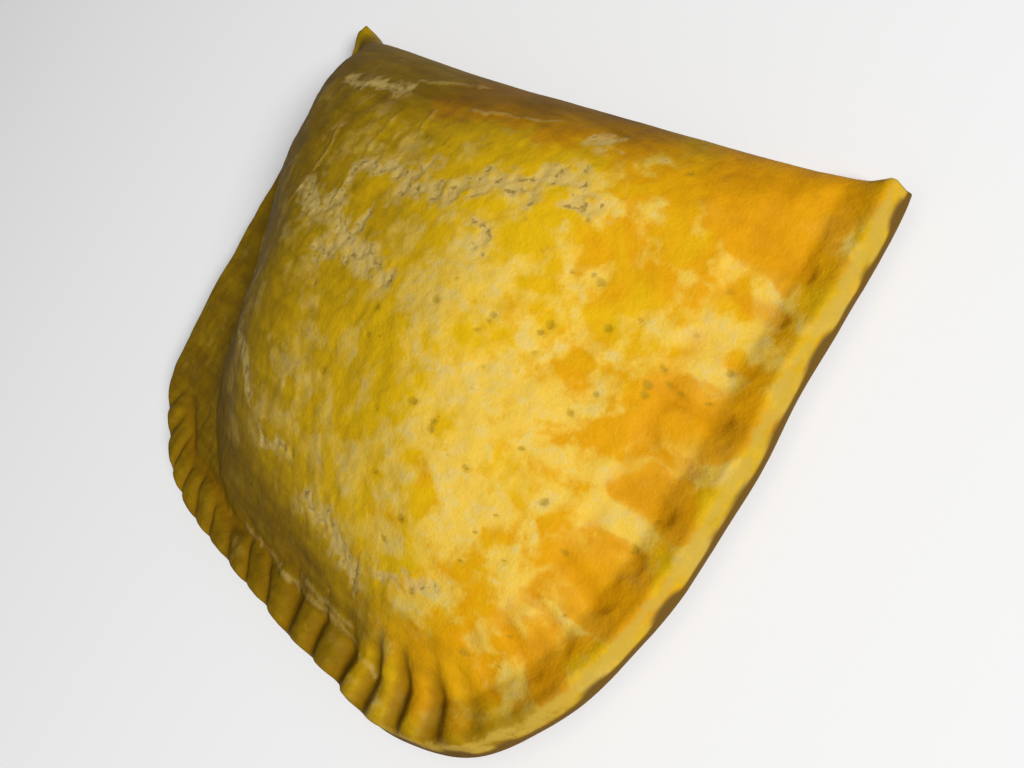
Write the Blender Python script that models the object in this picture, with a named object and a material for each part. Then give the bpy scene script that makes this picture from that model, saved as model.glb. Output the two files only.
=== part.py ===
"""A baked pastry turnover: one sheet folded over a filling, then sealed and crimped along its three cut sides.

Metres, +Z up. The smooth fold is at the back (+Y), the crimped front edge at -Y, the right tip at +X and the
left tip at -X. The underside rests on z = 0. Run with: blender --background --python part.py
"""
import math

import bmesh
import bpy
import numpy as np
from mathutils import Vector, noise

# Plan of the turnover
FOLD_LENGTH = 0.1403           # corner to corner along the fold
DEPTH = 0.1095                 # fold to the front edge
SIDE_ROUNDNESS = 4.8           # superellipse exponents of the cut edge
FRONT_ROUNDNESS = 3.0
SIDE_BULGE = 0.0085            # how far each side swells past its corner
FRONT_LEAN = 0.0055            # how far the front edge is shifted to the right
FOLD_BOW = 0.0030              # how far the middle of the fold is drawn in
EARS = ((0.0022, 0.0120, 2), (0.0054, 0.0048, 4))   # pinched right and left tips: reach, width, squareness
EAR_BLUNTING = (0.0002, 0.0019)   # how far the very corner of each ear is drawn in again
BLUNT_WIDTH = 0.0026
EDGE_WANDER = (                # hand-cut unevenness: share of the edge from the right tip, and how far out
    (0.04, 0.0003), (0.10, -0.0009), (0.16, -0.0006), (0.23, -0.0004), (0.29, -0.0007),
    (0.35, -0.0007), (0.42, -0.0007), (0.72, 0.0026), (0.82, -0.0016), (0.87, -0.0014), (0.92, -0.0010),
)
WANDER_WIDTH = 0.028           # reach of each of these along the edge

# Heights
CROWN = 0.0285                 # top of the dome above the table
RIM_LIFT = 0.0016              # the sealed rim bakes clear of the tray
RIM_THICKNESS = 0.0052         # two pressed sheets of dough
RIM_WIDTH = 0.0095             # crimped band
RIM_EDGE_ROUND = 0.0022
FOLD_TOP_ROUND = 0.034         # how far in from the fold the top reaches its full height
FOLD_BASE_ROUND = 0.008
FOLD_WAIST = 0.22              # share of the height where the fold reaches out farthest
DOME_RAMP = 0.054              # from the crimped band to the flat of the crown
STEEP_RAMP = 0.038             # the same on the left flank, where the filling crowds the edge
STEEP_FOOT = 0.0040            # there the dome starts this close to the edge
DOME_FULLNESS = 1.08
DOME_EASE = 0.007              # the dome has no ridges: its height is evened out over this radius
CORNER_SHELF = 0.017           # empty dough in the front left corner, where the filling stops short
BELLY_MARGIN = 0.016           # width over which the underside rises to the lifted rim
SWELL = 0.0011                 # slow lumps of the filling under the crust
SWELL_SIZE = 0.030

# Crimps
CRIMPS = 33
CRIMP_DEPTH = 0.0017
CRIMP_NOTCH = 0.0009           # each pinch also draws the edge in
CRIMP_CROWDING = 0.25          # the pinches are closer together along the front
CRIMP_FADE = 0.012             # no pinches this close to the fold

# Mesh
STEPS_PER_CRIMP = 6
FOLD_STEPS = 30
BAND = 0.012                   # the spokes leave the edge squarely for this far
TIP_BLEND = 0.030              # near a tip they turn towards the middle
TOP_BAND = (0.0, 0.0006, 0.0020, 0.0045, 0.0070, 0.0095, 0.0120)
TOP_INNER = (0.10, 0.22, 0.36, 0.52, 0.70, 0.87)
BASE_BAND = (0.0006, 0.0020, 0.0045, 0.0120)
BASE_INNER = (0.12, 0.35, 0.70)
LINE_STEPS = 300
GRID_STEP = 0.0015

CRUST_COLOUR = (0.62, 0.36, 0.045, 1.0)


def smooth(x):
    """0 below 0, 1 above 1, and an even S between."""
    x = np.clip(x, 0.0, 1.0)
    return x * x * (3.0 - 2.0 * x)


def rounding(distance, radius):
    """Quarter of an ellipse: 0 at the edge, 1 from one radius inwards."""
    inward = np.clip(distance / radius, 0.0, 1.0)
    return np.sqrt(1.0 - (1.0 - inward) ** 2)


def at_shares(line, shares):
    """Points of a line at shares of its length."""
    lengths = np.linalg.norm(np.diff(line, axis=0), axis=1)
    travelled = np.concatenate([[0.0], np.cumsum(lengths)])
    wanted = np.asarray(shares) * travelled[-1]
    return np.column_stack([np.interp(wanted, travelled, line[:, k]) for k in (0, 1)])


def unit(vectors):
    return vectors / np.linalg.norm(vectors, axis=1)[:, None]


def plain_cut_edge():
    """The cut edge from the right corner round the front to the left corner, before the pinched ears."""
    turn = np.linspace(0.0, math.pi, 4001)
    c = np.cos(turn)
    out = np.maximum(0.0, np.sin(turn)) ** (2.0 / FRONT_ROUNDNESS)
    half = FOLD_LENGTH / 2.0 + SIDE_BULGE * out * (1.6 - out)
    x = half * np.sign(c) * np.abs(c) ** (2.0 / SIDE_ROUNDNESS) + FRONT_LEAN * out
    even = np.linspace(0.0, 1.0, LINE_STEPS + 1)
    line = at_shares(np.column_stack([x, -DEPTH * out]), even)
    along = unit(np.gradient(line, axis=0))
    wander = sum(reach * np.exp(-((even - place) / WANDER_WIDTH) ** 2) for place, reach in EDGE_WANDER)
    wander *= smooth(np.minimum(even, 1.0 - even) / 0.03)
    return at_shares(line + np.column_stack([-along[:, 1], along[:, 0]]) * wander[:, None], even)


def plain_fold(cut):
    """The folded edge from the left corner to the right corner."""
    q = np.linspace(-1.0, 1.0, LINE_STEPS + 1)[:, None]
    straight = cut[-1] * (1.0 - q) / 2.0 + cut[0] * (1.0 + q) / 2.0
    return straight - np.array([0.0, FOLD_BOW]) * (1.0 - q ** 2)


def crimp_phase(along):
    """Whole numbers fall in the pinches. along runs 0 to 1 from the right tip round the front."""
    return CRIMPS * (along - CRIMP_CROWDING * np.sin(2.0 * math.pi * along) / (2.0 * math.pi))


def pinch(phase):
    """1 in the bottom of a pinch, 0 over the pillow between two pinches."""
    return ((1.0 + np.cos(2.0 * math.pi * phase)) / 2.0) ** 3


def to_line(points, line):
    """Distance from each point to the line, and the share of the line where it is nearest."""
    start = line[:-1]
    step = line[1:] - start
    from_start = points[:, None] - start
    t = np.clip((from_start * step).sum(axis=2) / (step ** 2).sum(axis=1), 0.0, 1.0)
    gaps = np.linalg.norm(from_start - t[..., None] * step, axis=2)
    nearest = gaps.argmin(axis=1)
    rows = np.arange(len(points))
    return gaps[rows, nearest], (nearest + t[rows, nearest]) / len(start)


class Plan:
    """Outline of the turnover with its two ears, and the spokes that run from it to the middle."""

    def __init__(self):
        cut = plain_cut_edge()
        fold = plain_fold(cut)
        self.corners = (cut[0], cut[-1])
        self.middle = np.array([FRONT_LEAN * 0.4, -0.47 * DEPTH])
        self.cut = self.with_ears(cut)
        self.fold = self.with_ears(fold)
        phases = np.arange(CRIMPS * STEPS_PER_CRIMP, 0, -1) / STEPS_PER_CRIMP
        grid = np.linspace(0.0, 1.0, 2001)
        shares = np.interp(phases, crimp_phase(grid), grid)
        fold_turns = np.arange(FOLD_STEPS, 0, -1) / FOLD_STEPS
        back = at_shares(fold, (fold_turns + smooth(fold_turns)) / 2.0)
        outline = np.concatenate([back, at_shares(cut, shares)])
        gap = self.corner_gap(outline)
        along = unit(np.roll(outline, -1, axis=0) - np.roll(outline, 1, axis=0))
        square_in = np.column_stack([-along[:, 1], along[:, 0]])
        turn = smooth(gap / TIP_BLEND)[:, None]
        inward = unit(unit(self.middle - outline) * (1.0 - turn) + square_in * turn)
        self.band_end = outline + inward * BAND
        notch = CRIMP_NOTCH * pinch(np.concatenate([np.full(FOLD_STEPS, 0.5), phases]))
        notch *= smooth(gap / CRIMP_FADE)
        self.start = self.with_ears(outline) + inward * notch[:, None]

    def corner_gap(self, points):
        return np.minimum(*[np.linalg.norm(points - corner, axis=1) for corner in self.corners])

    def with_ears(self, points):
        reach = 0.0
        for corner, (length, width, squareness), blunting in zip(self.corners, EARS, EAR_BLUNTING):
            gap = np.linalg.norm(points - corner, axis=1)
            reach = reach + length * np.exp(-(gap / width) ** squareness)
            reach = reach - blunting * np.exp(-gap / BLUNT_WIDTH)
        return points + unit(points - self.middle) * reach[:, None]

    def ring(self, place, value):
        """One point on every spoke, in the band along the edge or at a share of the way to the middle."""
        if place == "band":
            return self.start + (self.band_end - self.start) * value / BAND
        return self.band_end + (self.middle - self.band_end) * value


def sharp_dome(points, to_cut):
    """0 on the crimped band and 1 on the crown, following the nearest edge."""
    x, y = points[:, 0], points[:, 1]
    shelf = CORNER_SHELF * smooth((-x - 0.010) / 0.045) * smooth((-y - 0.035) / 0.045)
    left = smooth((-x - 0.010) / 0.045)
    foot = 0.8 * RIM_WIDTH + (STEEP_FOOT - 0.8 * RIM_WIDTH) * left * smooth((y + 0.065) / 0.030)
    ramp = DOME_RAMP + (STEEP_RAMP - DOME_RAMP) * left * smooth((y + 0.065) / 0.050)
    rise = np.clip((to_cut - foot - shelf) / ramp, 0.0, 1.0)
    return np.sin(rise * math.pi / 2.0) ** DOME_FULLNESS


class Dome:
    """The same dome evened out on a grid, so that no ridge is left where two edges are equally near."""

    def __init__(self, plan):
        self.low = np.array([-0.090, -0.130])
        self.size = (120, 108)
        across = [self.low[k] + GRID_STEP * np.arange(self.size[k]) for k in (0, 1)]
        nodes = np.stack(np.meshgrid(*across, indexing="ij"), axis=-1).reshape(-1, 2)
        self.height = sharp_dome(nodes, to_line(nodes, plan.cut)[0]).reshape(self.size)
        for _ in range(round(2.0 * (DOME_EASE / GRID_STEP) ** 2)):
            for axis in (0, 1):
                self.height = self.height / 2.0 + sum(
                    np.roll(self.height, step, axis=axis) for step in (-1, 1)) / 4.0

    def at(self, points, to_cut):
        place = (points - self.low) / GRID_STEP
        corner = np.floor(place).astype(int)
        u, v = (place - corner).T
        i, j = corner.T
        low = self.height[i, j] * (1.0 - u) + self.height[i + 1, j] * u
        high = self.height[i, j + 1] * (1.0 - u) + self.height[i + 1, j + 1] * u
        inner = smooth((to_cut - RIM_WIDTH) / 0.018)
        return sharp_dome(points, to_cut) * (1.0 - inner) + (low * (1.0 - v) + high * v) * inner


def heights(plan, dome, points, side):
    """Height of the crust (side +1) or of the underside (side -1) at points of the plan."""
    to_cut, along = to_line(points, plan.cut)
    to_fold, _ = to_line(points, plan.fold)
    crown = dome.at(points, to_cut)
    lumps = [noise.noise(Vector((px, py, 0.009)) / SWELL_SIZE) for px, py in points]
    rim_top = RIM_LIFT + RIM_THICKNESS
    top = rim_top + (CROWN - rim_top) * crown + SWELL * crown * np.array(lumps)
    crimped = 1.0 - smooth((to_cut - 0.55 * RIM_WIDTH) / (0.65 * RIM_WIDTH))
    top -= CRIMP_DEPTH * pinch(crimp_phase(along)) * crimped * smooth(to_fold / CRIMP_FADE)
    base = RIM_LIFT * (1.0 - smooth(to_cut / BELLY_MARGIN))
    waist = base + (top - base) * (0.42 + (FOLD_WAIST - 0.42) * crown)
    edge = rounding(to_cut, RIM_EDGE_ROUND)
    if side > 0:
        return waist + (top - waist) * edge * rounding(to_fold, 0.004 + (FOLD_TOP_ROUND - 0.004) * crown)
    return waist - (waist - base) * edge * rounding(to_fold, 0.002 + (FOLD_BASE_ROUND - 0.002) * crown)


def crust_mesh():
    """A globe whose meridians become the spokes of the plan and whose parallels become its rings."""
    plan = Plan()
    dome = Dome(plan)
    places = [(1, "inner", share) for share in reversed(TOP_INNER)]
    places += [(1, "band", inset) for inset in reversed(TOP_BAND)]
    places += [(-1, "band", inset) for inset in BASE_BAND]
    places += [(-1, "inner", share) for share in BASE_INNER]
    rings = []
    for side, place, value in places:
        points = plan.ring(place, value)
        rings.append(np.column_stack([points, heights(plan, dome, points, side)]))
    poles = [heights(plan, dome, plan.middle[None], side)[0] for side in (1, -1)]
    everything = np.concatenate(rings)
    shift = (everything.min(axis=0) + everything.max(axis=0)) / 2.0
    shift[2] = 0.0
    spokes = len(plan.start)
    built = bmesh.new()
    bmesh.ops.create_uvsphere(built, u_segments=spokes, v_segments=len(rings) + 1, radius=1.0)
    for vertex in built.verts:
        polar = math.acos(max(-1.0, min(1.0, vertex.co.z)))
        parallel = round(polar / math.pi * (len(rings) + 1))
        meridian = round(math.atan2(vertex.co.y, vertex.co.x) / (2.0 * math.pi) * spokes) % spokes
        if parallel == 0:
            place = (*plan.middle, poles[0])
        elif parallel == len(rings) + 1:
            place = (*plan.middle, poles[1])
        else:
            place = rings[parallel - 1][meridian]
        vertex.co = Vector(place) - Vector(shift)
    bmesh.ops.triangulate(built, faces=built.faces[:])
    mesh = bpy.data.meshes.new("patty")
    built.to_mesh(mesh)
    built.free()
    mesh.shade_smooth()
    return mesh


def crust_material():
    material = bpy.data.materials.new("baked_crust")
    material.use_nodes = True
    shader = material.node_tree.nodes["Principled BSDF"]
    shader.inputs["Base Color"].default_value = CRUST_COLOUR
    shader.inputs["Roughness"].default_value = 0.6
    shader.inputs["Metallic"].default_value = 0.0
    material.diffuse_color = CRUST_COLOUR
    return material


def main():
    for thing in list(bpy.data.objects):
        bpy.data.objects.remove(thing)
    parts = bpy.data.collections.new("jamaican_patty")
    bpy.context.scene.collection.children.link(parts)
    mesh = crust_mesh()
    mesh.materials.append(crust_material())
    parts.objects.link(bpy.data.objects.new("patty", mesh))


main()
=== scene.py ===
"""Jamaican patty: a mustard-gold pastry turnover with a smooth fold, a crimped edge and a flaky crust."""
import math

import bmesh
import bpy
import numpy as np
from mathutils import Euler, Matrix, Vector, noise


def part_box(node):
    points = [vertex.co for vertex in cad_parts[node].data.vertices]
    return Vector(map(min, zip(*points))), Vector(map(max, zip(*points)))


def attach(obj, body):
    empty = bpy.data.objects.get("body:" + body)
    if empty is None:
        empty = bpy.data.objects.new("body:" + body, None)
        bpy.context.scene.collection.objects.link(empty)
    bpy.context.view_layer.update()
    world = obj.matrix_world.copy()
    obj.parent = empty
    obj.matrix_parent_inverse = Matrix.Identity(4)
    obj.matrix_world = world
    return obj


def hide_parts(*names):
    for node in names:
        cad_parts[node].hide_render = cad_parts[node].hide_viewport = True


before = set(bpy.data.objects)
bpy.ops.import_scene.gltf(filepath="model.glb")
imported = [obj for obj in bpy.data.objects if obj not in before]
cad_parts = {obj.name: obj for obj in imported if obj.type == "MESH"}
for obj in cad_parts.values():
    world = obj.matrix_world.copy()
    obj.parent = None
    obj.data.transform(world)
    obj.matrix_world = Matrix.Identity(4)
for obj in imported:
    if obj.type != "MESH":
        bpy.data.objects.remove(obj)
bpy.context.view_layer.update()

# Plan of the turnover, in metres, as in the solid
FOLD_LENGTH = 0.1403
DEPTH = 0.1095
SIDE_ROUNDNESS = 4.8
FRONT_ROUNDNESS = 3.0
SIDE_BULGE = 0.0085
SIDE_FULLNESS = 1.6            # above 1, the sides swell out most before they reach the front
FRONT_LEAN = 0.0055
FOLD_BOW = 0.0030
EARS = ((0.0022, 0.0120, 2), (0.0054, 0.0048, 4))
EAR_BLUNTING = (0.0002, 0.0019)
BLUNT_WIDTH = 0.0026
EDGE_WANDER = (
    (0.04, 0.0003), (0.10, -0.0009), (0.16, -0.0006), (0.23, -0.0004), (0.29, -0.0007),
    (0.35, -0.0007), (0.42, -0.0007), (0.72, 0.0026), (0.82, -0.0016), (0.87, -0.0014), (0.92, -0.0010),
)
WANDER_WIDTH = 0.028
CORNER_EASE = 0.03             # the wander fades out over this share of the edge at each corner
MIDDLE = (FRONT_LEAN * 0.4, -0.47 * DEPTH)
LINE_STEPS = 300
CURVE_POINTS = 4001

# Heights, as in the solid
CROWN = 0.0285
RIM_LIFT = 0.0016
RIM_THICKNESS = 0.0052
RIM_TOP = RIM_LIFT + RIM_THICKNESS
RIM_WIDTH = 0.0095
FOLD_TOP_ROUND = 0.034
TIP_TOP_ROUND = 0.004
FOLD_BASE_ROUND = 0.008
TIP_BASE_ROUND = 0.002
FOLD_WAIST = 0.22
TIP_WAIST = 0.42
FOLD_FROM_CUT = 0.006          # width over which the cut edge's shape gives way to the fold's
DOME_RAMP = 0.054
STEEP_RAMP = 0.038
DOME_FOOT = 0.8 * RIM_WIDTH
STEEP_FOOT = 0.0040
DOME_FULLNESS = 1.08
DOME_EASE = 0.007
CORNER_SHELF = 0.017
BELLY_MARGIN = 0.016
SWELL = 0.0011
SWELL_SIZE = 0.030
SWELL_LEVEL = 0.009            # level of the noise that the slow lumps are cut from

# Where a form of the dome comes in: start and width of its ramp, in metres
LEFT_FLANK = (0.010, 0.045)            # towards -x
SHELF_FRONT = (0.035, 0.045)           # towards -y
STEEP_FOOT_BACK = (-0.065, 0.030)      # towards +y
STEEP_RAMP_BACK = (-0.065, 0.050)      # towards +y
EASED_DOME = (RIM_WIDTH, 0.018)        # inwards from the cut edge

# Grid on which the dome is evened out
GRID_STEP = 0.0015
GRID_CORNER = (-0.090, -0.130)
GRID_SIZE = (120, 108)
LAST_CELL = 1.001              # places stay just inside the last cell

# Crimps, pinched round the front: starts and widths of ramps are shares of the cut edge
CRIMPS = 33
CRIMP_DEPTH = 0.0012
PILLOW_RISE = 0.0005
CRIMP_CROWDING = 0.25
CRIMP_FADE = 0.012
CRIMP_SLANT = 95.0             # crimps gained per metre inwards, where the pinches lean like rope
CRIMP_LENGTH = 0.0125
LEANING_LENGTH = 0.0070
CRIMPS_BEGIN = (0.27, 0.08)
LEANING_BEGINS = (0.43, 0.10)
CRIMPS_END = (0.64, 0.10)
LEANING_LOSS = 0.35            # share of their strength that leaning pinches lose
FAR_LOSS = 0.60
STRENGTH_RANGE = (0.03, 1.1)
PINCH_WOBBLE = 0.18
CRIMP_VARIETY = 0.30
PINCH_SHARPNESS = 1.4
LEANING_SHARPNESS = 1.0        # added where the pinches lean
CRIMP_OFF_EDGE = (0.0002, 0.0014)
TAPER_START = 0.62             # in lengths of a crimp
TAPER_WIDTH = 0.60
FOOT_VALLEY = 0.0012           # the dome's foot dips behind the crimps
VALLEY_PLACE = 1.15            # in lengths of a crimp
VALLEY_WIDTH = 0.0018

# The softer finger marks along the right edge
EDGE_LENGTH = 0.300
FINGER_STEP = 0.0073
FINGER_DEPTH = 0.0007
FINGER_START = (0.0042, 0.002)
FINGER_END = (0.0130, 0.004)
FINGERS_STOP = (0.25, 0.07)            # shares of the cut edge
FINGER_OFF_FOLD = (0.010, 0.010)
FINGER_WOBBLE = 0.22
FINGER_SHARPNESS = 2.6
FINGER_STRENGTH = 0.62
FINGER_VARIETY = 0.75
FINGER_RANGE = (0.15, 1.0)
DENT_END_PLACE = 0.0140
DENT_END_WIDTH = 0.0014
DENT_END_SHARE = 0.4

# Cut edge: the lower sheet peeps out under the upper one, which thins out towards its cut
LEDGE = 0.0004
EDGE_BEVEL = 0.0019
EDGE_RAGGEDNESS = 0.00030
LEDGE_LEVEL = 0.16             # levels are shares of the edge's height
LEDGE_RISE = 0.07
SHEET_LEVEL = 0.40
SHEET_RISE = 0.60
SHEET_WALL = (0.6 * LEDGE, 0.0008)

# Heights of the small relief
COARSE_HEIGHT = 0.00042
MIDDLE_HEIGHT = 0.00018
FINE_HEIGHT = 0.00009
LUMPS_OFF_EDGE = 0.004
FLAKE_ROUGHNESS = 0.00024
FLAKE_SINK = 0.00014
LIP_HEIGHT = 0.00007
CREASE_HEIGHT = 0.00022
CREASE_TROUGH = 0.00012
PORE_DEPTH = 0.00032

# Values of a mark's mask at which its relief begins, and how much more brings it in fully
FLAKE_FLOOR = (0.34, 0.25)
CREASE_RIDGE = (0.20, 0.5)
PORE_FLOOR = (0.25, 0.6)
LIP_PLACE = 0.28
LIP_WIDTH = 0.10
TROUGH_PLACE = 0.06
TROUGH_WIDTH = 0.08
BROKEN_SHARE = 0.45
BROKEN_VARIETY = 1.5
TORN_BROKEN = 0.40
CREASE_BROKEN = 0.30

# Noises: size in metres, seed, octaves
EDGE_NOISE = (0.0070, 6)
PINCH_NOISE = (0.009, 3)
CRIMP_NOISE = (0.011, 5)
FINGER_TURN_NOISE = (0.008, 7, 2)
FINGER_NOISE = (0.013, 8)
COARSE_LUMPS = (0.010, 11)
MIDDLE_LUMPS = (0.004, 12, 2)
FINE_LUMPS = (0.0015, 13, 2)
FLAKE_NOISE = (0.0012, 14, 2)
BROKEN_NOISE = (0.0023, 37, 3)

# Noises that move the marks about, with how far first
TORN_WARP = (0.0017, 0.0030, 31, 3)
SOFT_WARP = (0.0026, 0.0080, 33, 3)
CREASE_WARP = (0.0007, 0.0040, 35, 2)
PORE_WARP = (0.0004, 0.0012, 39, 2)

# Fine mesh
TOP_CELLS = 280                # squares across the top, stretched to the outline
OUTERMOST = 0.999
TIP_BLEND = 0.030              # near a tip the rings go in towards the middle
RIM_TO_FOLD = (0.001, 0.008)
# The rings down the rim: inset and share of the edge's height on the cut side, and inset on the fold
RIM_RINGS = (
    (0.00003, 0.72, 0.00015),
    (0.00010, 0.42, 0.00050),
    (0.00035, 0.17, 0.00100),
    (0.00090, 0.03, 0.00160),
    (0.00180, 0.00, 0.00230),
    (0.00300, 0.00, 0.00320),
    (0.00450, 0.00, 0.00440),
    (0.00650, 0.00, 0.00620),
    (0.00900, 0.00, 0.00880),
    (0.01200, 0.00, 0.01180),
    (0.01700, 0.00, 0.01680),
)

# Marks seen in the photograph: half-width in metres, then the pixels that each runs through
TORN = (
    (0.0012, ((350, 80), (388, 87), (408, 89))),
    (0.0022, ((310, 186), (314, 206), (336, 205))),
    (0.0014, ((350, 174), (362, 162), (405, 174), (430, 163))),
    (0.0018, ((397, 187), (450, 192), (470, 184), (507, 178), (528, 189))),
    (0.0016, ((528, 189), (548, 173), (582, 178))),
    (0.0014, ((566, 201), (600, 209))),
    (0.0020, ((318, 251), (346, 242), (366, 256), (384, 278))),
    (0.0011, ((335, 213), (347, 236), (368, 210))),
    (0.0017, ((479, 228), (484, 236))),
    (0.0015, ((598, 141), (606, 143))),
    (0.0016, ((306, 499), (330, 517), (335, 541), (358, 578))),
    (0.0010, ((378, 575), (425, 586))),
    (0.0012, ((246, 322), (249, 360), (251, 392))),
    (0.0008, ((259, 430), (264, 445), (285, 445))),
)
CREASES = (
    (0.0005, ((342, 125), (330, 150), (292, 205))),
    (0.0005, ((400, 112), (365, 150))),
    (0.0005, ((433, 110), (415, 135))),
    (0.0005, ((362, 162), (330, 205))),
    (0.0006, ((300, 160), (268, 225), (247, 300))),
    (0.0006, ((420, 80), (490, 88))),
    (0.0005, ((470, 110), (560, 122))),
    (0.0007, ((242, 521), (296, 585), (342, 625), (371, 671))),
    (0.0006, ((300, 575), (350, 625))),
)
BROWNED = (
    (0.0045, ((735, 178), (830, 198))),
    (0.0032, ((750, 220), (800, 262))),
    (0.0034, ((672, 412), (735, 428))),
    (0.0026, ((645, 488), (685, 512))),
    (0.0042, ((580, 578), (640, 608))),
    (0.0022, ((528, 645), (555, 690))),
    # this one along the top of the fold is partly browning, partly painted shade where the fold turns from
    # the light
    (0.0050, ((480, 95), (560, 108), (640, 130))),
)
GOLDEN = (
    (0.0036, ((590, 345), (592, 362))),
    (0.0036, ((600, 300), (640, 285))),
    (0.0046, ((395, 205), (470, 200))),
    (0.0046, ((520, 212), (600, 225))),
    (0.0046, ((450, 150), (540, 160))),
    (0.0042, ((330, 292), (370, 340))),
    (0.0036, ((330, 370), (400, 395))),
    (0.0046, ((650, 235), (740, 250))),
    (0.0046, ((390, 620), (440, 650))),
    (0.0028, ((540, 515), (575, 525))),
)
PALE = (
    (0.0040, ((482, 234), (446, 276), (412, 298))),
    (0.0050, ((402, 285), (408, 340), (440, 400))),
    (0.0034, ((350, 262), (395, 285))),
    (0.0046, ((500, 420), (560, 350))),
    (0.0050, ((480, 480), (520, 550), (560, 610))),
    (0.0034, ((745, 325), (640, 350))),
    (0.0034, ((800, 215), (845, 225))),
    (0.0034, ((332, 418), (330, 440))),
    (0.0036, ((360, 470), (400, 510), (395, 560))),
    (0.0030, ((300, 330), (345, 335))),
)
MEETING_ROUNDS = 24            # damped rounds in which a pixel's ray meets the crust
MEETING_STEP = 0.4

# Pores are scattered by chance, most of them over the front of the crown
PORES = 85
PORE_MIDDLE = (0.044, -0.058)
PORE_SPREAD = (0.024, 0.026)
PORE_RADIUS = (0.00025, 0.00060)
PORE_SEED = 12
PORES_OFF_EDGE = (0.004, 0.004)
PORES_OFF_FOLD = 0.010

# Where the browning and the painted shade change: start and width of each ramp, in metres unless a share or
# rings are named
RIGHT_SIDE = (0.30, 0.16)              # shares of the cut edge
FRONT_FOOT = (0.36, 0.10)              # shares of the cut edge
FOOT_BAND = (0.004, 0.024)
LEFT_SIDE = (-0.034, 0.070)            # towards -x
SHADED_SIDE = (-0.045, 0.085)            # towards -x
FOLD_BAND = (0.001, 0.020)
FOLD_SIDE = (-0.070, 0.040)            # towards -x
FRONT_END = (0.078, 0.022)             # towards -y
WARM_SIDE = (0.010, 0.050)             # towards +x
TIP_SIDE = (0.060, 0.010)              # towards -x
TIP_BACK = (-0.018, 0.010)             # towards +y
UNDER_RINGS = (2.0, 3.0)               # rings down the rim
UPPER_SHEET = (0.8 * LEDGE, 0.0003)
BEVEL_FACE = (LEDGE + 0.25 * EDGE_BEVEL, 0.6 * EDGE_BEVEL)
CUT_EDGE_WIDTH = 0.0045
CENTRE = (0.044, -0.055)
CENTRE_SIZE = (0.040, 0.044)
WARM_AT_EDGE = 0.3
WARM_INSIDE = 0.7
BROWNED_FULLY = 0.3
CUT_FACE_LEAST = 0.10
CUT_FACE_RIGHT = 0.90

# How much each region adds to a mask. The shares of the left side, the shaded side, the foot, the front, the
# fold and the cut edge in the masks for the olive tint, the pale crust and the shade are painted shade; the
# pillow and tip shares lighten it again
MASK_SHARES = {
    "browned": {"browned": 1.0, "fold": 0.30, "unbrowned": -0.45},
    "finger": {"dent": 1.0, "dent_end": 0.70},
    "orange": {"warm": 0.85, "browned": 0.35, "dent": 0.30},
    "pale": {
        "centre": 0.62, "pale": 0.35, "golden": -0.45, "browned": -0.55, "left": -0.10,
        "ridge": 0.60, "front": -0.30, "fold": -0.50, "foot": -0.35,
    },
    "olive_and_shade": {"left": 1.0, "fold": 0.4, "foot": 0.6},
    "shade": {
        "shaded_side": 0.60, "foot": 0.45, "left_foot": -0.40, "front": 0.44, "fold": 0.60,
        "cut_edge": 0.42, "pillow": -0.10, "tip": -0.80,
    },
    "groove_shade": {"pinched": 1.0, "valley": 0.8},
}
MASK_LIMITS = {"olive_and_shade": 1.0, "shade": 0.70, "groove_shade": 1.0}   # these stay between 0 and this

# Colours, linear
GOLD = (0.58, 0.350, 0.003)
ORANGE = (0.55, 0.245, 0.001)
BROWN = (0.40, 0.170, 0.001)
# a darker gold: partly the crust's duller tone, partly painted shade on the left side, fold and foot
OLIVE_AND_SHADE = (0.41, 0.254, 0.003)
# painted shade, laid over the left side, foot, front, fold and right cut edge
SHADE = (0.10, 0.050, 0.001)
CREAM = (0.62, 0.405, 0.050)
BEIGE = (0.57, 0.420, 0.120)
TORN_CREAM = (0.50, 0.370, 0.125)
# painted shade in the pits of the torn flakes
PIT_SHADE = (0.20, 0.120, 0.020)
CUT_CREAM = (0.38, 0.250, 0.030)
FINGER_BROWN = (0.49, 0.210, 0.001)
# the lower sheet and underside: baked brown, darkened further as painted shade under the rim
SHEET_BROWN_AND_SHADE = (0.105, 0.055, 0.008)
PORE_BROWN = (0.27, 0.170, 0.006)
# painted shade in the grooves between the crimps and the valley behind them
GROOVE_SHADE = (0.20, 0.095, 0.001)
FLOOR_WHITE = (0.98, 0.98, 0.98)
SURROUND_WHITE = (1.0, 1.0, 1.0)

# Surface of the crust and the floor
STREAK_TURN = math.radians(37.0)
STREAK_SQUEEZE = (0.22, 1.0, 1.0)
CRUST_ROUGHNESS = 0.62
TORN_ROUGHNESS_GAIN = 0.20
CRUST_SHINE = 0.06
BUMP_STRENGTH = 0.5
BUMP_DEPTH = 0.0005
FLOOR_ROUGHNESS = 0.9
FLOOR_HALF_WIDTH = 4.0

# Light, in metres and watts
KEY_PLACE = (1.90, 0.05, 1.12)
KEY_TARGET = (0.0, 0.0, 0.01)
KEY_SIZE = 0.80
KEY_POWER = 65.0
SURROUND_STRENGTH = 0.19

# Camera, in metres and degrees
CAMERA_PLACE = (0.1426, 0.0023, 0.1260)
CAMERA_TARGET = (0.0350, 0.0028, 0.0120)
CAMERA_ROLL = 57.55            # the photograph was turned by this much
FOCAL_PIXELS = 1000.0
FRAME_PIXELS = (1024.0, 768.0)
FILM_MILLIMETRES = 36.0
NEAREST_SEEN = 0.01


def smooth(x):
    """0 below 0, 1 above 1, and an even S between."""
    x = np.clip(x, 0.0, 1.0)
    return x * x * (3.0 - 2.0 * x)


def ramp(value, start, width):
    """0 up to start, 1 from one width beyond it, and an even S between."""
    return smooth((value - start) / width)


def hump(value, middle, width):
    """1 at the middle, fading evenly to both sides."""
    return np.exp(-((value - middle) / width) ** 2)


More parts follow.
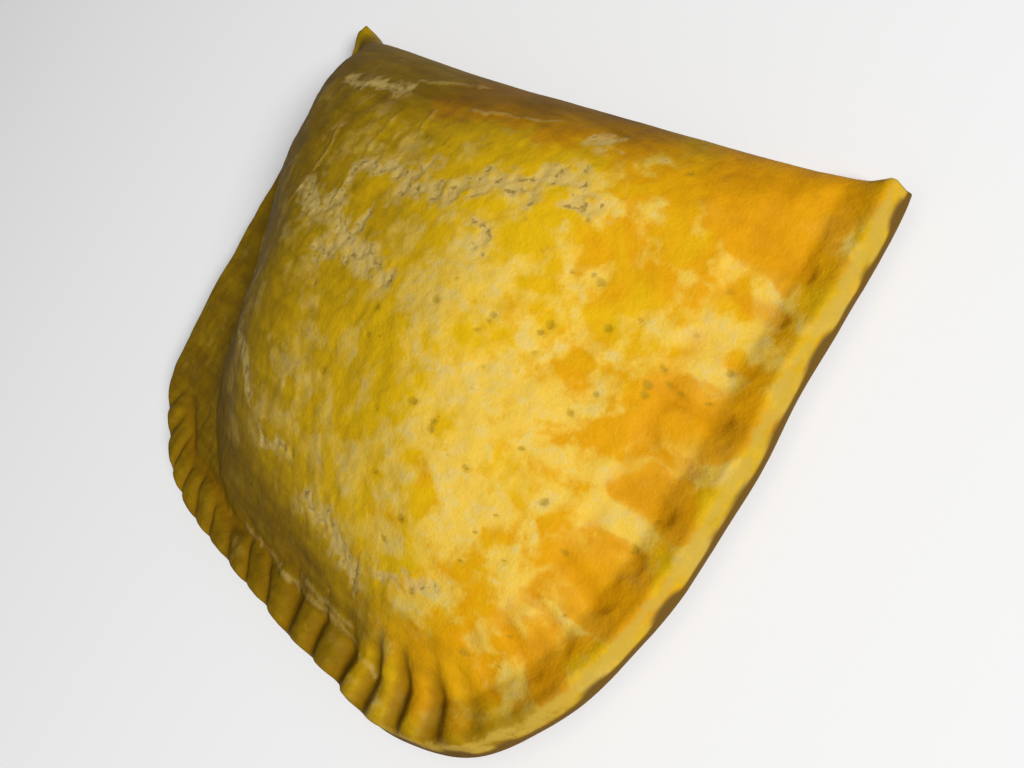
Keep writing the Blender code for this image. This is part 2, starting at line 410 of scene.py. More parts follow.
def wave(turns, sharpness):
    """1 at each whole turn and 0 halfway between, narrower the sharper it is."""
    return (0.5 + 0.5 * np.cos(2.0 * math.pi * turns)) ** sharpness


def rounding(distance, radius):
    """Quarter of an ellipse: 0 at the edge, 1 from one radius inwards."""
    inward = np.clip(distance / radius, 0.0, 1.0)
    return np.sqrt(1.0 - (1.0 - inward) ** 2)


def at_shares(line, shares):
    """Points of a line at shares of its length."""
    lengths = np.linalg.norm(np.diff(line, axis=0), axis=1)
    travelled = np.concatenate([[0.0], np.cumsum(lengths)])
    wanted = np.asarray(shares) * travelled[-1]
    return np.column_stack([np.interp(wanted, travelled, line[:, k]) for k in (0, 1)])


def unit(vectors):
    return vectors / np.linalg.norm(vectors, axis=1)[:, None]


def plain_cut_edge():
    """The cut edge from the right corner round the front to the left corner, before the pinched ears."""
    turn = np.linspace(0.0, math.pi, CURVE_POINTS)
    c = np.cos(turn)
    out = np.maximum(0.0, np.sin(turn)) ** (2.0 / FRONT_ROUNDNESS)
    half = FOLD_LENGTH / 2.0 + SIDE_BULGE * out * (SIDE_FULLNESS - out)
    x = half * np.sign(c) * np.abs(c) ** (2.0 / SIDE_ROUNDNESS) + FRONT_LEAN * out
    even = np.linspace(0.0, 1.0, LINE_STEPS + 1)
    line = at_shares(np.column_stack([x, -DEPTH * out]), even)
    along = unit(np.gradient(line, axis=0))
    wander = sum(reach * hump(even, place, WANDER_WIDTH) for place, reach in EDGE_WANDER)
    wander *= smooth(np.minimum(even, 1.0 - even) / CORNER_EASE)
    return at_shares(line + np.column_stack([-along[:, 1], along[:, 0]]) * wander[:, None], even)


def plain_fold(cut):
    """The folded edge from the left corner to the right corner."""
    q = np.linspace(-1.0, 1.0, LINE_STEPS + 1)[:, None]
    straight = cut[-1] * (1.0 - q) / 2.0 + cut[0] * (1.0 + q) / 2.0
    return straight - np.array([0.0, FOLD_BOW]) * (1.0 - q ** 2)


def crimp_phase(along):
    """Whole numbers fall in the pinches. along runs 0 to 1 from the right tip round the front."""
    return CRIMPS * (along - CRIMP_CROWDING * np.sin(2.0 * math.pi * along) / (2.0 * math.pi))


def to_line(points, line):
    """Distance from each point to the line, and the share of the line where it is nearest."""
    start = line[:-1]
    step = line[1:] - start
    gaps, shares = [], []
    for some in np.array_split(points, max(1, len(points) // 4000)):
        from_start = some[:, None] - start
        t = np.clip((from_start * step).sum(axis=2) / (step ** 2).sum(axis=1), 0.0, 1.0)
        away = np.linalg.norm(from_start - t[..., None] * step, axis=2)
        nearest = away.argmin(axis=1)
        rows = np.arange(len(some))
        gaps.append(away[rows, nearest])
        shares.append((nearest + t[rows, nearest]) / len(start))
    return np.concatenate(gaps), np.concatenate(shares)


def noise_at(points, size, seed, octaves=1):
    """Smooth noise of about -1 to 1 on the plan, with features about size across."""
    shift = Vector((seed * 3.71, seed * 1.93, seed * 2.57))
    return np.array([
        noise.fractal(Vector((x / size, y / size, 0.0)) + shift, 1.0, 2.0, octaves) for x, y in points
    ])


def warped(points, reach, size, seed, octaves):
    """The points moved about by noise, which makes the marks ragged."""
    shifts = [noise_at(points, size, seed + k, octaves) for k in (0, 1)]
    return points + reach * np.column_stack(shifts)


def nearness(points, marks):
    """1 along the middle of the nearest mark, 0.5 at its edge, 0 one more half-width outwards, down to -1."""
    best = np.full(len(points), -1.0)
    for half_width, places in marks:
        best = np.maximum(best, 1.0 - to_line(points, places)[0] / (2.0 * half_width))
    return best


def sharp_dome(points, to_cut):
    """0 on the crimped band and 1 on the crown, following the nearest edge."""
    x, y = points.T
    left = ramp(-x, *LEFT_FLANK)
    shelf = CORNER_SHELF * left * ramp(-y, *SHELF_FRONT)
    foot = DOME_FOOT + (STEEP_FOOT - DOME_FOOT) * left * ramp(y, *STEEP_FOOT_BACK)
    width = DOME_RAMP + (STEEP_RAMP - DOME_RAMP) * left * ramp(y, *STEEP_RAMP_BACK)
    climbed = np.clip((to_cut - foot - shelf) / width, 0.0, 1.0)
    return np.sin(climbed * math.pi / 2.0) ** DOME_FULLNESS


def fold_share(to_cut, to_fold, crown):
    """Share of the height that is left where the dough turns down at the fold."""
    fold_round = TIP_TOP_ROUND + (FOLD_TOP_ROUND - TIP_TOP_ROUND) * crown
    drop = 1.0 - TIP_WAIST - (FOLD_WAIST - TIP_WAIST) * crown
    return 1.0 - smooth(to_cut / FOLD_FROM_CUT) * drop * (1.0 - rounding(to_fold, fold_round))


def camera_turn():
    """The camera looks at its target and is then rolled."""
    towards = (Vector(CAMERA_TARGET) - Vector(CAMERA_PLACE)).to_track_quat("-Z", "Y")
    return towards @ Euler((0.0, 0.0, math.radians(-CAMERA_ROLL))).to_quaternion()


class Patty:
    """Outline with its two ears, dome, and the places of the marks, all on the plan."""

    def __init__(self):
        cut = plain_cut_edge()
        fold = plain_fold(cut)
        self.corners = (cut[0], cut[-1])
        self.middle = np.array(MIDDLE)
        self.cut = self.with_ears(cut)
        self.fold = self.with_ears(fold)
        outline = np.concatenate([self.cut, self.fold])
        box_low, box_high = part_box("patty")
        self.shift = (np.array(box_low) + np.array(box_high))[:2] / 2.0
        self.shift = self.shift - (outline.min(axis=0) + outline.max(axis=0)) / 2.0
        self.even_out_dome()
        self.torn = self.places_of(TORN)
        self.creases = self.places_of(CREASES)
        self.browned = self.places_of(BROWNED)
        self.golden = self.places_of(GOLDEN)
        self.pale = self.places_of(PALE)

    def with_ears(self, points):
        reach = 0.0
        for corner, (length, width, squareness), blunting in zip(self.corners, EARS, EAR_BLUNTING):
            gap = np.linalg.norm(points - corner, axis=1)
            reach = reach + length * np.exp(-(gap / width) ** squareness)
            reach = reach - blunting * np.exp(-gap / BLUNT_WIDTH)
        return points + unit(points - self.middle) * reach[:, None]

    def even_out_dome(self):
        """Evens the dome out on a grid, so that no ridge is left where two edges are equally near."""
        self.low = np.array(GRID_CORNER)
        self.size = np.array(GRID_SIZE)
        across = [self.low[k] + GRID_STEP * np.arange(self.size[k]) for k in (0, 1)]
        nodes = np.stack(np.meshgrid(*across, indexing="ij"), axis=-1).reshape(-1, 2)
        self.height = sharp_dome(nodes, to_line(nodes, self.cut)[0]).reshape(self.size)
        for _ in range(round(2.0 * (DOME_EASE / GRID_STEP) ** 2)):
            for axis in (0, 1):
                neighbours = sum(np.roll(self.height, step, axis=axis) for step in (-1, 1))
                self.height = self.height / 2.0 + neighbours / 4.0

    def crown_at(self, points, to_cut):
        """0 on the crimped band and 1 on the crown."""
        place = np.clip((points - self.low) / GRID_STEP, 0.0, self.size - LAST_CELL)
        corner = np.floor(place).astype(int)
        u, v = (place - corner).T
        i, j = corner.T
        low = self.height[i, j] * (1.0 - u) + self.height[i + 1, j] * u
        high = self.height[i, j + 1] * (1.0 - u) + self.height[i + 1, j + 1] * u
        inner = ramp(to_cut, *EASED_DOME)
        return sharp_dome(points, to_cut) * (1.0 - inner) + (low * (1.0 - v) + high * v) * inner

    def plain_height(self, points):
        """Height of the crust without its relief."""
        to_cut = to_line(points, self.cut)[0]
        to_fold = to_line(points, self.fold)[0]
        crown = self.crown_at(points, to_cut)
        return (RIM_TOP + (CROWN - RIM_TOP) * crown) * fold_share(to_cut, to_fold, crown)

    def places_of(self, marks):
        """The marks with places on the plan instead of pixels: where each pixel's ray meets the crust."""
        turn = camera_turn()
        start = np.array(CAMERA_PLACE) - np.append(self.shift, 0.0)
        placed = []
        for half_width, pixels in marks:
            rays = np.array([
                turn @ Vector((u - FRAME_PIXELS[0] / 2.0, FRAME_PIXELS[1] / 2.0 - v, -FOCAL_PIXELS))
                for u, v in pixels
            ])
            height = np.full(len(rays), RIM_THICKNESS)
            for _ in range(MEETING_ROUNDS):
                points = start[:2] + rays[:, :2] * ((height - start[2]) / rays[:, 2])[:, None]
                height += MEETING_STEP * (self.plain_height(points) - height)
            placed.append((half_width, points))
        return placed


class Relief:
    """Everything that a point of the crust needs to know: where it lies, its heights and its masks."""

    def __init__(self, patty, points):
        self.points = points
        self.to_cut, self.along = to_line(points, patty.cut)
        self.to_fold = to_line(points, patty.fold)[0]
        self.crown = patty.crown_at(points, self.to_cut)
        self.edge = self.to_cut + EDGE_RAGGEDNESS * noise_at(points, *EDGE_NOISE)
        self.place_crimps()
        self.place_fingers()
        self.place_marks(patty)
        self.place_pores()
        lumps = np.array([noise.noise(Vector((x, y, SWELL_LEVEL)) / SWELL_SIZE) for x, y in points])
        self.top = RIM_TOP + (CROWN - RIM_TOP) * self.crown + SWELL * self.crown * lumps
        self.top += self.crimps() + self.unevenness() + self.marks()
        self.base = RIM_LIFT * (1.0 - smooth(self.to_cut / BELLY_MARGIN))
        self.folded = smooth(self.to_cut / FOLD_FROM_CUT)

    def place_crimps(self):
        """How strong, how deep inwards and how far along its crimp each point lies."""
        front = ramp(self.along, *CRIMPS_BEGIN)
        far = ramp(self.along, *CRIMPS_END)
        leaning = ramp(self.along, *LEANING_BEGINS)
        wobble = PINCH_WOBBLE * noise_at(self.points, *PINCH_NOISE)
        leaning_here = leaning * (1.0 - far)
        phase = crimp_phase(self.along) - CRIMP_SLANT * leaning_here * self.to_cut + wobble
        uneven = 1.0 + CRIMP_VARIETY * noise_at(self.points, *CRIMP_NOISE)
        strength = front * (1.0 - LEANING_LOSS * leaning) * uneven - FAR_LOSS * far
        self.strength = np.clip(strength, *STRENGTH_RANGE)
        length = (CRIMP_LENGTH + (LEANING_LENGTH - CRIMP_LENGTH) * leaning) * uneven
        self.pinch = wave(phase, PINCH_SHARPNESS + LEANING_SHARPNESS * leaning)
        off_edge = ramp(self.to_cut, *CRIMP_OFF_EDGE)
        off_fold = smooth(self.to_fold / CRIMP_FADE)
        taper = ramp(self.to_cut, TAPER_START * length, TAPER_WIDTH * length)
        self.band = off_edge * off_fold * (1.0 - taper)
        self.valley = hump(self.to_cut, VALLEY_PLACE * length, VALLEY_WIDTH) * off_fold * leaning_here

    def place_fingers(self):
        """Finger marks along the right edge: 1 in a dent, 0 on the ridges between."""
        beside = 1.0 - ramp(self.along, *FINGERS_STOP)
        inwards = ramp(self.to_cut, *FINGER_START) * (1.0 - ramp(self.to_cut, *FINGER_END))
        band = inwards * ramp(self.to_fold, *FINGER_OFF_FOLD)
        wobble = FINGER_WOBBLE * noise_at(self.points, *FINGER_TURN_NOISE)
        dent = wave(self.along * EDGE_LENGTH / FINGER_STEP + wobble, FINGER_SHARPNESS)
        uneven = FINGER_STRENGTH + FINGER_VARIETY * noise_at(self.points, *FINGER_NOISE)
        uneven = np.clip(uneven, *FINGER_RANGE)
        self.dent = beside * band * dent * uneven
        self.ridge = beside * band * (1.0 - dent)
        self.dent_end = beside * uneven * hump(self.to_cut, DENT_END_PLACE, DENT_END_WIDTH)

    def place_marks(self, patty):
        """Ragged masks of the marks on the crust."""
        soft = warped(self.points, *SOFT_WARP)
        broken = BROKEN_SHARE - BROKEN_VARIETY * noise_at(self.points, *BROKEN_NOISE)
        broken = np.clip(broken, 0.0, 1.0)
        self.torn = nearness(warped(self.points, *TORN_WARP), patty.torn) - TORN_BROKEN * broken
        self.crease = nearness(warped(self.points, *CREASE_WARP), patty.creases) - CREASE_BROKEN * broken
        self.browned = np.clip(nearness(soft, patty.browned), 0.0, 1.0)
        self.golden = np.clip(nearness(soft, patty.golden), 0.0, 1.0)
        self.pale = np.clip(nearness(soft, patty.pale), 0.0, 1.0)

    def place_pores(self):
        """1 in the middle of a pore, 0.5 at its edge."""
        chance = np.random.default_rng(PORE_SEED)
        places = chance.normal(PORE_MIDDLE, PORE_SPREAD, (PORES, 2))
        radii = chance.uniform(*PORE_RADIUS, PORES)
        ragged = warped(self.points, *PORE_WARP)
        self.pore = np.zeros(len(self.points))
        for place, radius in zip(places, radii):
            gap = np.linalg.norm(ragged - place, axis=1)
            self.pore = np.maximum(self.pore, 1.0 - gap / (2.0 * radius))
        self.pore *= ramp(self.to_cut, *PORES_OFF_EDGE) * smooth(self.to_fold / PORES_OFF_FOLD)

    def crimps(self):
        """Pillows pressed up between the pinches, the valley behind them, and the finger dents."""
        pillow = 1.0 - self.pinch
        rise = self.strength * self.band * (PILLOW_RISE * pillow - CRIMP_DEPTH * self.pinch)
        return rise - FOOT_VALLEY * self.valley - FINGER_DEPTH * (self.dent + DENT_END_SHARE * self.dent_end)

    def unevenness(self):
        """Hand-rolled lumps and fine roughness."""
        lumps = COARSE_HEIGHT * noise_at(self.points, *COARSE_LUMPS)
        lumps += MIDDLE_HEIGHT * noise_at(self.points, *MIDDLE_LUMPS)
        lumps += FINE_HEIGHT * noise_at(self.points, *FINE_LUMPS)
        return smooth(self.to_cut / LUMPS_OFF_EDGE) * lumps

    def marks(self):
        """Torn flakes sink under raised lips, creases stand up, pores dip."""
        flake = FLAKE_ROUGHNESS * noise_at(self.points, *FLAKE_NOISE) - FLAKE_SINK
        flake *= ramp(self.torn, *FLAKE_FLOOR)
        lip = LIP_HEIGHT * hump(self.torn, LIP_PLACE, LIP_WIDTH)
        crease = CREASE_HEIGHT * ramp(self.crease, *CREASE_RIDGE)
        trough = CREASE_TROUGH * hump(self.crease, TROUGH_PLACE, TROUGH_WIDTH) * (self.crease > 0.0)
        pore = PORE_DEPTH * ramp(self.pore, *PORE_FLOOR)
        return flake + lip + crease - trough - pore

    def upper(self):
        """Height of the top surface: over the ledge, the cut sheet and the dome, and round the fold."""
        ledge = LEDGE_LEVEL + LEDGE_RISE * rounding(self.edge, LEDGE)
        sheet = SHEET_LEVEL + SHEET_RISE * rounding(self.edge - LEDGE, EDGE_BEVEL)
        share = ledge + (sheet - ledge) * ramp(self.edge, *SHEET_WALL)
        share *= fold_share(self.to_cut, self.to_fold, self.crown)
        return self.base + (self.top - self.base) * share

    def regions(self):
        """The regions that the colourings are mixed from, each 0 to 1."""
        x, y = self.points.T
        left = ramp(-x, *LEFT_SIDE)
        foot = ramp(self.along, *FRONT_FOOT) * (1.0 - ramp(self.to_cut, *FOOT_BAND))
        right = 1.0 - ramp(self.along, *RIGHT_SIDE)
        return {
            "left": left,
            "right": right,
            "foot": foot,
            "left_foot": left * foot,
            "shaded_side": ramp(-x, *SHADED_SIDE),
            "fold": (1.0 - ramp(self.to_fold, *FOLD_BAND)) * ramp(-x, *FOLD_SIDE),
            "front": ramp(-y, *FRONT_END),
            "centre": hump(x, CENTRE[0], CENTRE_SIZE[0]) * hump(y, CENTRE[1], CENTRE_SIZE[1]),
            "warm": ramp(x, *WARM_SIDE) * (WARM_AT_EDGE + WARM_INSIDE * self.folded),
            "tip": ramp(-x, *TIP_SIDE) * ramp(y, *TIP_BACK),
            "cut_edge": right * (1.0 - smooth(self.to_cut / CUT_EDGE_WIDTH)),
            "pillow": self.band * self.strength * (1.0 - self.pinch),
            "pinched": self.band * self.strength * self.pinch,
            "valley": self.valley,
            "dent": self.dent,
            "dent_end": self.dent_end,
            "ridge": self.ridge,
            "browned": self.browned,
            "unbrowned": 1.0 - smooth(self.browned / BROWNED_FULLY),
            "golden": self.golden,
            "pale": self.pale,
        }

    def masks(self, depth):
        """Shares of each colouring, by name, for points at the given number of rings down the rim."""
        regions = self.regions()
        masks = {}
        for name, shares in MASK_SHARES.items():
            masks[name] = sum(share * regions[region] for region, share in shares.items())
            if name in MASK_LIMITS:
                masks[name] = np.clip(masks[name], 0.0, MASK_LIMITS[name])
        on_top = depth < 1
        upper_sheet = ramp(self.edge, *UPPER_SHEET)
        bevel = np.where(on_top, upper_sheet * (1.0 - ramp(self.edge, *BEVEL_FACE)), 0.0)
        under = np.where(on_top, 0.0, ramp(depth, *UNDER_RINGS))
        sheet = np.where(on_top, 1.0 - upper_sheet, 1.0)
        masks["cut_face"] = bevel * (CUT_FACE_LEAST + CUT_FACE_RIGHT * regions["right"])
        masks["sheet"] = sheet * (1.0 - self.folded) + under * self.folded
        masks["torn"] = self.torn
        masks["crease"] = self.crease
        masks["pore"] = self.pore
        return masks


def crust_outline(patty):
    """Outline points, anticlockwise from the left tip, with TOP_CELLS steps for each side of the square."""
    quarter = np.arange(TOP_CELLS) / TOP_CELLS
    sides = [at_shares(patty.cut, 1.0 - (quarter + k) / 3.0) for k in range(3)]
    return np.concatenate(sides + [at_shares(patty.fold, 1.0 - quarter)])


def square_ring(i, j):
    """Place of a grid node on its square ring: share of the way out, and outline steps round the ring."""
    half = TOP_CELLS / 2.0
    x, y = i - half, j - half
    reach = max(abs(x), abs(y))
    if reach == 0.0:
        return 0.0, 0.0
    if x == -reach and y != -reach:
        turn = (reach - y) / (2.0 * reach)
    elif y == -reach and x != reach:
        turn = 1.0 + (x + reach) / (2.0 * reach)
    elif x == reach and y != reach:
        turn = 2.0 + (y + reach) / (2.0 * reach)
    else:
        turn = 3.0 + (reach - x) / (2.0 * reach)
    return reach / half, (turn % 4.0) * TOP_CELLS


def inset_rings(patty, outline):
    """Unit vectors that lead inwards from each outline point."""
    along = unit(np.roll(outline, -1, axis=0) - np.roll(outline, 1, axis=0))
    square_in = np.column_stack([-along[:, 1], along[:, 0]])
    gap = np.minimum(*[np.linalg.norm(outline - tip, axis=1) for tip in (patty.cut[0], patty.cut[-1])])
    turn = smooth(gap / TIP_BLEND)[:, None]
    return unit(unit(patty.middle - outline) * (1.0 - turn) + square_in * turn)


def rim_ring(here, edge_height, patty, inward, profile):
    """One ring of the rim's profile, as points in space."""
    cut_in, share, fold_in = profile
    on_fold = ramp(here.to_cut, *RIM_TO_FOLD)
    points = here.points + inward * (cut_in * (1.0 - on_fold) + fold_in * on_fold)[:, None]
    base = RIM_LIFT * (1.0 - smooth(to_line(points, patty.cut)[0] / BELLY_MARGIN))
    fold_base_round = TIP_BASE_ROUND + (FOLD_BASE_ROUND - TIP_BASE_ROUND) * here.crown
    left_over = 1.0 - rounding(fold_in, fold_base_round)
    z = base + (edge_height - base) * (share * (1.0 - on_fold) + left_over * on_fold)
    return np.column_stack([points, z])


def stretch_grid(mesh, patty, outline):
    """Stretches the square grid over the plan and lifts it. Gives the outline step of each rim vertex."""
    half = TOP_CELLS / 2.0
    rings = np.array([square_ring(round(v.co.x + half), round(v.co.y + half)) for v in mesh.verts])
    count = len(outline)
    low = np.floor(rings[:, 1]).astype(int)
    part = (rings[:, 1] - low)[:, None]
    reached = outline[low % count] * (1.0 - part) + outline[(low + 1) % count] * part
    points = patty.middle + (reached - patty.middle) * rings[:, :1]
    for vertex, (x, y), z in zip(mesh.verts, points, Relief(patty, points).upper()):
        vertex.co = (x, y, z)
    return {v: round(turn) % count for v, (reach, turn) in zip(mesh.verts, rings) if reach > OUTERMOST}


def make_crust(patty):
    """The whole crust: a fine grid over the plan, whose rim is extruded down and under the belly."""
    outline = crust_outline(patty)
    inward = inset_rings(patty, outline)
    mesh = bmesh.new()
    bmesh.ops.create_grid(mesh, x_segments=TOP_CELLS, y_segments=TOP_CELLS, size=TOP_CELLS / 2.0)
    step_of = stretch_grid(mesh, patty, outline)
    depth_of = {}
    edges = [e for e in mesh.edges if e.is_boundary]
    here = Relief(patty, outline)
    edge_height = here.upper()
    for depth, profile in enumerate(RIM_RINGS, 1):
        places = rim_ring(here, edge_height, patty, inward, profile)
        made = bmesh.ops.extrude_edge_only(mesh, edges=edges)["geom"]
        fresh = {g for g in made if isinstance(g, bmesh.types.BMVert)}
        for vertex in fresh:
            above = next(e.other_vert(vertex) for e in vertex.link_edges if e.other_vert(vertex) not in fresh)
            step_of[vertex] = step_of[above]
            depth_of[vertex] = depth
        for vertex in fresh:
            vertex.co = places[step_of[vertex]]
        edges = [g for g in made if isinstance(g, bmesh.types.BMEdge) and g.is_boundary]
    bmesh.ops.holes_fill(mesh, edges=edges, sides=0)
    bmesh.ops.recalc_face_normals(mesh, faces=mesh.faces[:])
    mesh.verts.index_update()
    depths = np.zeros(len(mesh.verts))
    for vertex, depth in depth_of.items():
        depths[vertex.index] = depth
    return mesh, depths


def finish_crust(built, depths, patty):
    """Turns the crust into an object in the frame's place, with its masks."""
    places = np.array([v.co[:2] for v in built.verts])
    masks = Relief(patty, places).masks(depths)
    bmesh.ops.translate(built, verts=built.verts[:], vec=(*patty.shift, 0.0))
    data = bpy.data.meshes.new("crust")
    built.to_mesh(data)
    built.free()
    data.shade_smooth()
    for name, values in masks.items():
        attribute = data.attributes.new(name, "FLOAT", "POINT")
        attribute.data.foreach_set("value", values.astype(np.float32))
    crust = bpy.data.objects.new("crust", data)
    bpy.context.scene.collection.objects.link(crust)
    return crust


class Paint:
    """Short ways to add the nodes of one material."""

    def __init__(self, name):
        self.material = bpy.data.materials.new(name)
        self.material.use_nodes = True
        self.tree = self.material.node_tree
        self.shader = self.tree.nodes["Principled BSDF"]
        coordinates = self.tree.nodes.new("ShaderNodeTexCoord")
        self.place = coordinates.outputs["Object"]

    def join(self, source, socket):
        if isinstance(source, bpy.types.NodeSocket):
            self.tree.links.new(source, socket)
        else:
            socket.default_value = source

    def mask(self, name):
        node = self.tree.nodes.new("ShaderNodeAttribute")
        node.attribute_name = name
        return node.outputs["Fac"]

    def noise(self, size, detail, roughness, distortion=0.0, place=None):
        """Noise of 0 to 1 with features about size across, in metres."""
        node = self.tree.nodes.new("ShaderNodeTexNoise")
        node.inputs["Scale"].default_value = 1.0 / size
        node.inputs["Detail"].default_value = detail
        node.inputs["Roughness"].default_value = roughness
        node.inputs["Distortion"].default_value = distortion
        self.tree.links.new(place or self.place, node.inputs["Vector"])
        return node.outputs["Fac"]

    def stretched(self, turn, squeeze):
        """The place, turned and squeezed, which draws a noise out into streaks."""
        node = self.tree.nodes.new("ShaderNodeMapping")
        node.inputs["Rotation"].default_value = (0.0, 0.0, turn)
        node.inputs["Scale"].default_value = squeeze
        self.tree.links.new(self.place, node.inputs["Vector"])
        return node.outputs["Vector"]

    def calc(self, operation, *values):
        node = self.tree.nodes.new("ShaderNodeMath")
        node.operation = operation
        for value, socket in zip(values, node.inputs):
            self.join(value, socket)
        return node.outputs["Value"]

    def blend(self, first, first_share, second, second_share):
        """Sum of two values by their shares."""
        return self.calc(
            "ADD", self.calc("MULTIPLY", first, first_share), self.calc("MULTIPLY", second, second_share)
        )

    def step(self, value, low, high):
        """0 below low, 1 above high, and an even S between."""
        node = self.tree.nodes.new("ShaderNodeMapRange")
        node.interpolation_type = "SMOOTHSTEP"
        self.join(value, node.inputs["Value"])
        node.inputs["From Min"].default_value = low
        node.inputs["From Max"].default_value = high
        return node.outputs["Result"]

    def mix(self, share, first, second):
        node = self.tree.nodes.new("ShaderNodeMix")
        node.data_type = "RGBA"
        self.join(share, node.inputs[0])
        for colour, socket in ((first, node.inputs[6]), (second, node.inputs[7])):
            self.join((*colour, 1.0) if isinstance(colour, tuple) else colour, socket)
        return node.outputs[2]

    def roughened(self, name, roughness, amount):
        """A mask with its edges broken up by a noise."""
        return self.calc("ADD", self.mask(name), self.calc("MULTIPLY_ADD", roughness, amount, -amount / 2.0))

    def cover(self, layer, mask, under, low, high, most):
        """Lays one more colour over the others, from where the mask passes low to where it passes high."""
        return self.mix(self.calc("MULTIPLY", self.step(mask, low, high), most), under, layer)


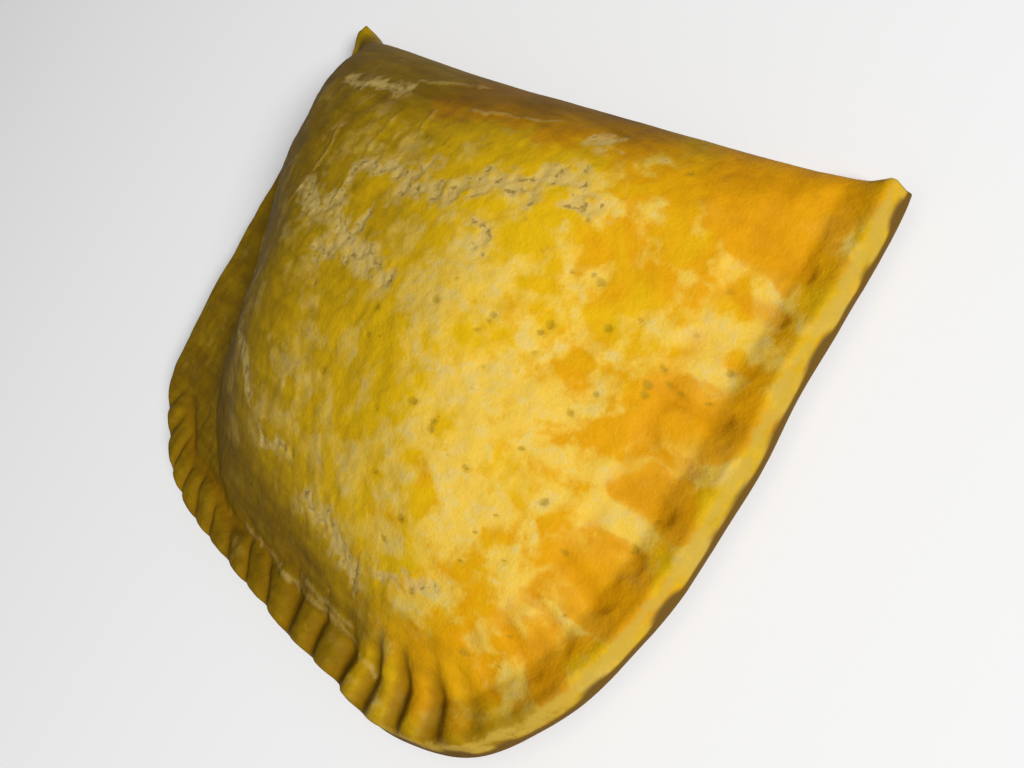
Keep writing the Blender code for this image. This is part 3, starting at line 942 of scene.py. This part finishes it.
def crust_material():
    paint = Paint("baked_crust")
    clouds = paint.noise(size=0.012, detail=3.0, roughness=0.6, distortion=0.4)
    patches = paint.noise(size=0.0060, detail=3.0, roughness=0.50, distortion=0.3)
    bits = paint.noise(size=0.0026, detail=4.0, roughness=0.65)
    specks = paint.noise(size=0.0016, detail=3.0, roughness=0.6)
    grain = paint.noise(size=0.0006, detail=3.0, roughness=0.6)
    drawn_out = paint.stretched(STREAK_TURN, STREAK_SQUEEZE)
    streaks = paint.noise(size=0.0030, detail=3.0, roughness=0.6, place=drawn_out)
    ragged = paint.blend(patches, 0.76, bits, 0.24)

    # Bake: gold, warmer to the right, pale in the middle, browned in patches; the duller, darker gold on the
    # left side, fold and foot is partly the crust's own tone and partly painted shade
    orange = paint.roughened("orange", clouds, 2.2)
    olive_and_shade = paint.roughened("olive_and_shade", patches, 1.6)
    pale = paint.roughened("pale", ragged, 7.5)
    beige = paint.calc("MULTIPLY", paint.step(pale, 0.20, 1.00), bits)
    browned = paint.roughened("browned", ragged, 3.4)
    colour = paint.cover(ORANGE, orange, GOLD, low=0.20, high=1.00, most=0.9)
    colour = paint.cover(OLIVE_AND_SHADE, olive_and_shade, colour, low=0.0, high=0.95, most=1.0)
    colour = paint.cover(CREAM, pale, colour, low=-0.10, high=0.95, most=0.92)
    colour = paint.cover(BEIGE, beige, colour, low=0.44, high=0.66, most=0.75)
    colour = paint.cover(ORANGE, browned, colour, low=0.15, high=0.65, most=0.9)
    colour = paint.cover(BROWN, browned, colour, low=0.60, high=1.30, most=0.5)

    # Finger marks, painted shade on the sides, foot, front and fold, and painted shade in the grooves between
    # the crimps and the valley behind them
    finger = paint.roughened("finger", bits, 1.0)
    shade = paint.roughened("shade", streaks, 0.55)
    groove_shade = paint.roughened("groove_shade", bits, 0.5)
    colour = paint.cover(FINGER_BROWN, finger, colour, low=0.05, high=0.75, most=0.65)
    colour = paint.cover(SHADE, shade, colour, low=0.0, high=1.0, most=0.95)
    colour = paint.cover(GROOVE_SHADE, groove_shade, colour, low=0.12, high=0.85, most=0.70)

    # Torn flakes with painted shade in their pits, creases, the cut edge, pores, and the lower sheet and
    # underside, baked brown darkened with painted shade
    torn = paint.roughened("torn", specks, 1.7)
    crease = paint.roughened("crease", specks, 2.0)
    pit_shade = paint.calc("MULTIPLY", paint.step(paint.mask("torn"), 0.05, 0.35), specks)
    cut_face = paint.roughened("cut_face", bits, 2.2)
    pore = paint.roughened("pore", specks, 0.9)
    colour = paint.cover(TORN_CREAM, torn, colour, low=-0.10, high=0.75, most=0.70)
    colour = paint.cover(TORN_CREAM, crease, colour, low=0.20, high=1.00, most=0.34)
    colour = paint.cover(PIT_SHADE, pit_shade, colour, low=0.56, high=0.66, most=0.65)
    colour = paint.cover(CUT_CREAM, cut_face, colour, low=0.25, high=1.05, most=0.85)
    colour = paint.cover(PORE_BROWN, pore, colour, low=0.20, high=0.70, most=0.60)
    colour = paint.cover(PORE_BROWN, bits, colour, low=0.66, high=0.80, most=0.40)
    colour = paint.cover(SHEET_BROWN_AND_SHADE, paint.mask("sheet"), colour, low=0.30, high=0.70, most=1.0)
    paint.join(colour, paint.shader.inputs["Base Color"])

    matt = paint.calc("MULTIPLY_ADD", paint.step(torn, 0.3, 0.6), TORN_ROUGHNESS_GAIN, CRUST_ROUGHNESS)
    paint.join(matt, paint.shader.inputs["Roughness"])
    paint.shader.inputs["Specular IOR Level"].default_value = CRUST_SHINE

    bump = paint.tree.nodes.new("ShaderNodeBump")
    bump.inputs["Strength"].default_value = BUMP_STRENGTH
    bump.inputs["Distance"].default_value = BUMP_DEPTH
    paint.join(paint.blend(bits, 0.9, grain, 0.35), bump.inputs["Height"])
    paint.join(bump.outputs["Normal"], paint.shader.inputs["Normal"])
    return paint.material


def make_floor():
    built = bmesh.new()
    bmesh.ops.create_grid(built, x_segments=1, y_segments=1, size=FLOOR_HALF_WIDTH)
    data = bpy.data.meshes.new("floor")
    built.to_mesh(data)
    built.free()
    floor = bpy.data.objects.new("floor", data)
    bpy.context.scene.collection.objects.link(floor)
    paint = bpy.data.materials.new("floor_paint")
    paint.use_nodes = True
    shader = paint.node_tree.nodes["Principled BSDF"]
    shader.inputs["Base Color"].default_value = (*FLOOR_WHITE, 1.0)
    shader.inputs["Roughness"].default_value = FLOOR_ROUGHNESS
    data.materials.append(paint)


def make_key_light():
    light = bpy.data.lights.new("key", "AREA")
    light.shape = "DISK"
    light.size = KEY_SIZE
    light.energy = KEY_POWER
    lamp = bpy.data.objects.new("key", light)
    lamp.location = KEY_PLACE
    lamp.rotation_euler = (Vector(KEY_TARGET) - Vector(KEY_PLACE)).to_track_quat("-Z", "Y").to_euler()
    bpy.context.scene.collection.objects.link(lamp)


def make_surround():
    world = bpy.data.worlds.new("surround")
    world.use_nodes = True
    background = world.node_tree.nodes["Background"]
    background.inputs["Color"].default_value = (*SURROUND_WHITE, 1.0)
    background.inputs["Strength"].default_value = SURROUND_STRENGTH
    bpy.context.scene.world = world


def make_camera():
    data = bpy.data.cameras.new("camera")
    data.sensor_width = FILM_MILLIMETRES
    data.lens = data.sensor_width * FOCAL_PIXELS / FRAME_PIXELS[0]
    data.clip_start = NEAREST_SEEN
    camera = bpy.data.objects.new("camera", data)
    camera.location = CAMERA_PLACE
    camera.rotation_euler = camera_turn().to_euler()
    bpy.context.scene.collection.objects.link(camera)
    bpy.context.scene.camera = camera


def main():
    patty = Patty()
    crust_mesh, depths = make_crust(patty)
    crust = finish_crust(crust_mesh, depths, patty)
    crust.data.materials.append(crust_material())
    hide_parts("patty")
    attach(crust, "root")
    make_floor()
    make_key_light()
    make_surround()
    make_camera()
    bpy.context.scene.view_settings.view_transform = "Standard"


main()
